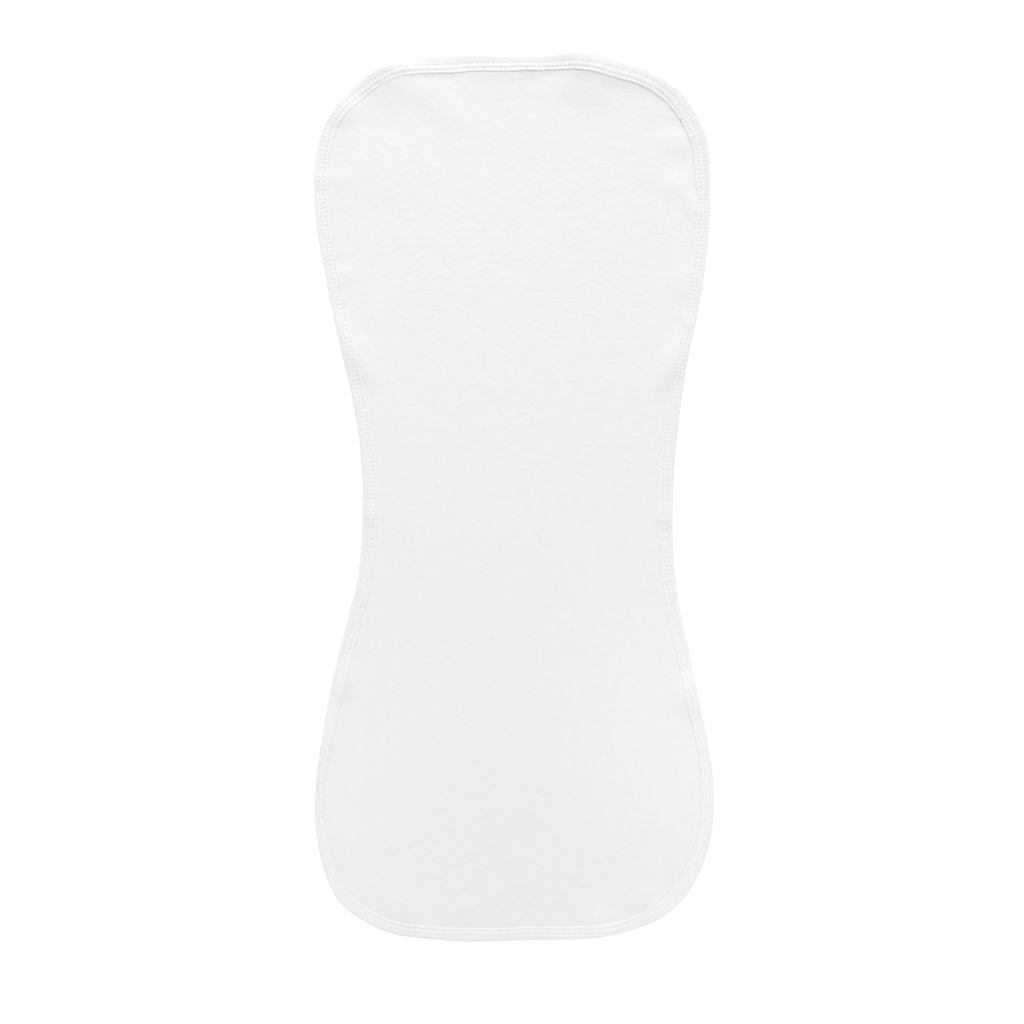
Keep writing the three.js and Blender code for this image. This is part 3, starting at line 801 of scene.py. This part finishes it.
def floor_material():
    """A pale matt sweep that glows a little, so that it stays white right up to the cloth."""
    material, nodes, links = tree_of("pale_sweep")
    out = put(nodes, "ShaderNodeOutputMaterial")
    shader = put(nodes, "ShaderNodeBsdfPrincipled")
    links.new(shader.outputs[0], out.inputs[0])
    where = put(nodes, "ShaderNodeTexCoord").outputs["Object"]
    ramp = put(nodes, "ShaderNodeValToRGB")
    ramp.color_ramp.elements[0].color = (0.62, 0.62, 0.62, 1)
    ramp.color_ramp.elements[1].color = (0.66, 0.66, 0.66, 1)
    links.new(noise(nodes, links, where, 6.0), ramp.inputs[0])
    links.new(ramp.outputs[0], shader.inputs["Base Color"])
    shader.inputs["Roughness"].default_value = 0.95
    shader.inputs["Specular IOR Level"].default_value = 0.0
    shader.inputs["Emission Color"].default_value = (1, 1, 1, 1)
    shader.inputs["Emission Strength"].default_value = 0.57
    return material


panel_knit = cloth_material("panel_knit", (0.882, 0.882, 0.882), 0.00064, 0.00052, 0.00005, 0.090)
# The binding's copy of the cloth is coloured a little lighter than the panel's (0.892 against 0.882): painted light for
# the brighter raised binding.
strip_knit = cloth_material("binding_knit", (0.892, 0.892, 0.892), 0.00064, 0.00052, 0.00005, 0.090, from_strip=True)
thread = thread_material("white_thread", (0.95, 0.95, 0.95))

panel = panel_piece(panel_knit)
binding = strip_piece(strip_knit)
row_paths = [stitch_paths("row_1", -VALLEY, 1), stitch_paths("row_2", -VALLEY - 0.08, 1)]
stitches = threads("stitches_top", np.concatenate(row_paths), 6, thread)
under_paths = [stitch_paths("row_1", 0.13, -1, radius=0.13, rise=0.05, sink=0.05),
               stitch_paths("row_2", 0.13, -1, radius=0.13, rise=0.05, sink=0.05), looper_paths(0.11)]
under = threads("stitches_under", np.concatenate(under_paths), 5, thread)

for piece, name in ((panel, "panel_knit"), (binding, "binding_knit"), (stitches, "binding_knit"), (under, "binding_knit")):
    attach(piece, "root")
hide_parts("panel")
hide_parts("binding")

# --------------------------------------------------------------------- stage
floor_mesh = bpy.data.meshes.new("sweep")
half = 3.0
floor_mesh.from_pydata([(-half, -half, -0.0004), (half, -half, -0.0004), (half, half, -0.0004), (-half, half, -0.0004)], [], [(0, 1, 2, 3)])
floor = bpy.data.objects.new("sweep", floor_mesh)
bpy.context.scene.collection.objects.link(floor)
floor_mesh.materials.append(floor_material())

# --------------------------------------------------------------------- light
SKY = 0.735                    # even light from all round
KEY = 103.0                    # large soft lamp beyond the top end
scene = bpy.context.scene
world = bpy.data.worlds.new("soft_room")
scene.world = world
world.use_nodes = True
sky = world.node_tree.nodes["Background"]
sky.inputs[0].default_value = (1, 1, 1, 1)
sky.inputs[1].default_value = SKY


def aim(lamp, place, target):
    lamp.location = place
    lamp.rotation_euler = (Vector(target) - Vector(place)).to_track_quat("-Z", "Y").to_euler()


def add_light(name, kind, place, target, energy, **settings):
    data = bpy.data.lights.new(name, kind)
    data.energy = energy
    for key, value in settings.items():
        setattr(data, key, value)
    lamp = bpy.data.objects.new(name, data)
    scene.collection.objects.link(lamp)
    aim(lamp, place, target)
    return lamp


KEY_FROM = (2.0, 42.0)         # degrees round from +Y towards +X, and up
KEY_AWAY = 3.3
a, e = (math.radians(v) for v in KEY_FROM)
key_at = tuple(KEY_AWAY * v for v in (math.cos(e) * math.sin(a), math.cos(e) * math.cos(a), math.sin(e)))
add_light("key", "AREA", key_at, (0, 0, 0), KEY * (KEY_AWAY / 4.5) ** 2, shape="DISK", size=1.85)
add_light("high_left", "SPOT", (-0.25, 0.30, 2.6), (-0.085, 0.190, 0), 2.5,
          spot_size=math.radians(7.0), spot_blend=1.0, shadow_soft_size=0.05)
add_light("low_right", "SPOT", (-0.20, -0.20, 2.6), (0.132, -0.140, 0), 18.0,
          spot_size=math.radians(5.5), spot_blend=1.0, shadow_soft_size=0.05)
add_light("low_left", "SPOT", (0.20, -0.20, 2.6), (-0.135, -0.165, 0), 9.0,
          spot_size=math.radians(5.5), spot_blend=1.0, shadow_soft_size=0.05)

# -------------------------------------------------------------------- camera
PX = 0.5727                    # mm of cloth to one pixel of the photograph
FRAME = 1024
LENS, SENSOR = 85.0, 36.0
away = FRAME * PX * LENS / SENSOR
camera_data = bpy.data.cameras.new("camera")
camera_data.lens = LENS
camera_data.sensor_width = SENSOR
camera_data.sensor_fit = "HORIZONTAL"
camera_data.clip_start = 0.01
camera_data.clip_end = 20
camera = bpy.data.objects.new("camera", camera_data)
scene.collection.objects.link(camera)
camera.location = (((511.5 - 513.5) * PX - CENTRE[0]) * MM, ((497.5 - 511.5) * PX - CENTRE[1]) * MM, (away + 1.5) * MM)
camera.rotation_euler = (0, 0, 0)
scene.camera = camera

scene.view_settings.view_transform = "Standard"
scene.view_settings.look = "None"
scene.view_settings.exposure = 0.0
scene.view_settings.gamma = 1.0

bpy.context.view_layer.update()
